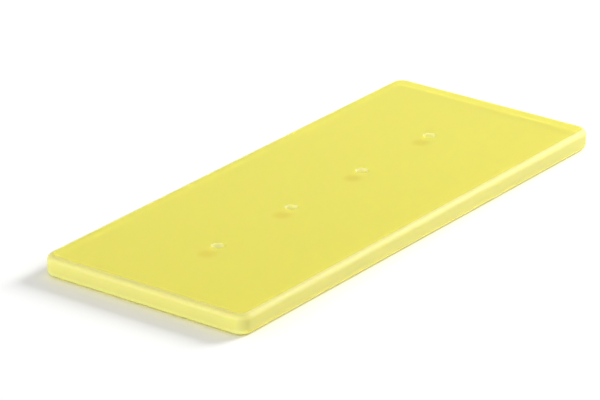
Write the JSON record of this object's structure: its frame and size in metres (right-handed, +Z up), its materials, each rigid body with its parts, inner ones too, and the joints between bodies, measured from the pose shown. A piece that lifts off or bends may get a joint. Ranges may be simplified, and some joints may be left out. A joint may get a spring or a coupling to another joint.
{
  "type": "squeegee applicator",
  "caption": "Flat rectangular applicator blade of soft translucent urethane with rounded edges, drawn over vinyl film to press it down.",
  "frame": {"origin": "centre of the flat underside that the blade lies on", "axes": "+X along the blade's length, +Y across its width, +Z up out of its upper face"},
  "size_m": [0.15, 0.062, 0.0055],
  "materials": {
    "urethane": "milky translucent yellow urethane, smooth and glossy on the flat faces, satin on the rounded edges and walls"
  },
  "bodies": {
    "root": {"squeegee_blade": "urethane"}
  },
  "joints": []
}
